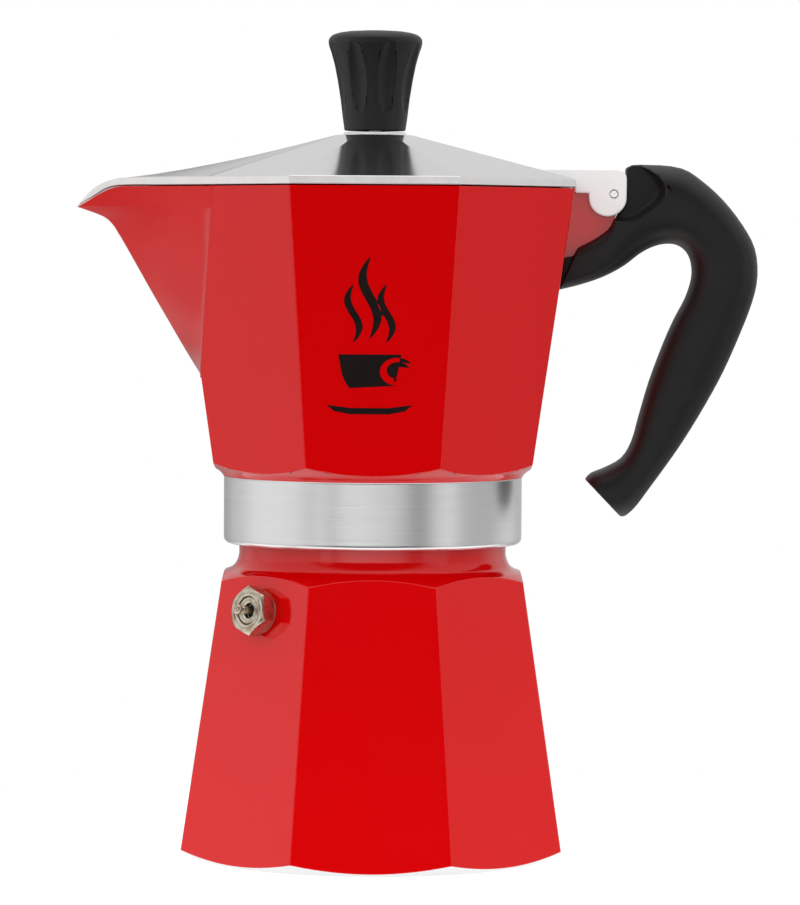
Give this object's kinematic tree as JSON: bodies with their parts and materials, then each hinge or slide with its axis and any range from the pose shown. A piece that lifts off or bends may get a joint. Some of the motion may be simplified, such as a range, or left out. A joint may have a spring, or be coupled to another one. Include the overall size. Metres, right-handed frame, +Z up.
{
  "type": "moka pot",
  "caption": "Stove-top moka coffee pot: eight-sided boiler, screw-on collector with spout, hinged lid, hook handle and fluted knob.",
  "frame": {"origin": "centre of the boiler's flat bottom, on the pot's vertical axis", "axes": "+Z up along the pot's axis, -X towards the spout, +X towards the handle, -Y towards the side seen in the picture"},
  "size_m": [0.1793, 0.104, 0.217],
  "materials": {
    "red_lacquered_aluminium": "gloss red lacquer over cast aluminium",
    "bare_aluminium": "polished or spun, uncoated",
    "black_plastic": "satin black moulding",
    "plated_brass": "nickel-plated, a little worn",
    "steel": "bright zinc",
    "white_rubber": "white food-grade silicone",
    "fibre": "pressed fibre"
  },
  "bodies": {
    "boiler": {"boiler": "red_lacquered_aluminium", "valve_body": "plated_brass", "valve_washer": "fibre", "valve_cap": "plated_brass", "valve_spring": "steel"},
    "plunger": {"valve_plunger": "plated_brass", "valve_seal": "white_rubber"},
    "funnel": {"funnel_basket": "bare_aluminium", "funnel_stem": "bare_aluminium", "funnel_sieve": "bare_aluminium"},
    "seal": {"gasket": "white_rubber", "filter_plate": "bare_aluminium"},
    "collector": {"collector": "red_lacquered_aluminium", "column_cap": "bare_aluminium", "handle": "black_plastic", "handle_screw": "steel", "hinge_pin": "steel"},
    "lid": {"lid": "bare_aluminium", "knob": "black_plastic", "knob_insert": "plated_brass", "knob_screw": "steel"}
  },
  "joints": [
    {"name": "valve_lift", "type": "slide", "parent": "boiler", "child": "plunger", "axis": [-0.6997, -0.6997, 0.1445], "range_m": [0, 0.0015], "stiffness_N_per_m": 800, "springref_m": -0.003, "deforming": ["valve_spring"]},
    {"name": "funnel_lift", "type": "slide", "parent": "boiler", "child": "funnel", "axis": [0, 0, 1], "range_m": [0, 0.11]},
    {"name": "thread_rise", "type": "slide", "parent": "funnel", "child": "seal", "axis": [0, 0, 1], "range_m": [0, 0.01001]},
    {"name": "collector_turn", "type": "hinge", "parent": "seal", "child": "collector", "pos_m": [0, 0, 0.0908], "axis": [0, 0, 1], "range_deg": [0, 900]},
    {"name": "lid_open", "type": "hinge", "parent": "collector", "child": "lid", "pos_m": [0.0627, 0, 0.1744], "axis": [0, 1, 0], "range_deg": [0, 95]}
  ],
  "couplings": [
    {"joint": "thread_rise", "follows": "collector_turn", "m_per_rad": 0.00063662}
  ]
}
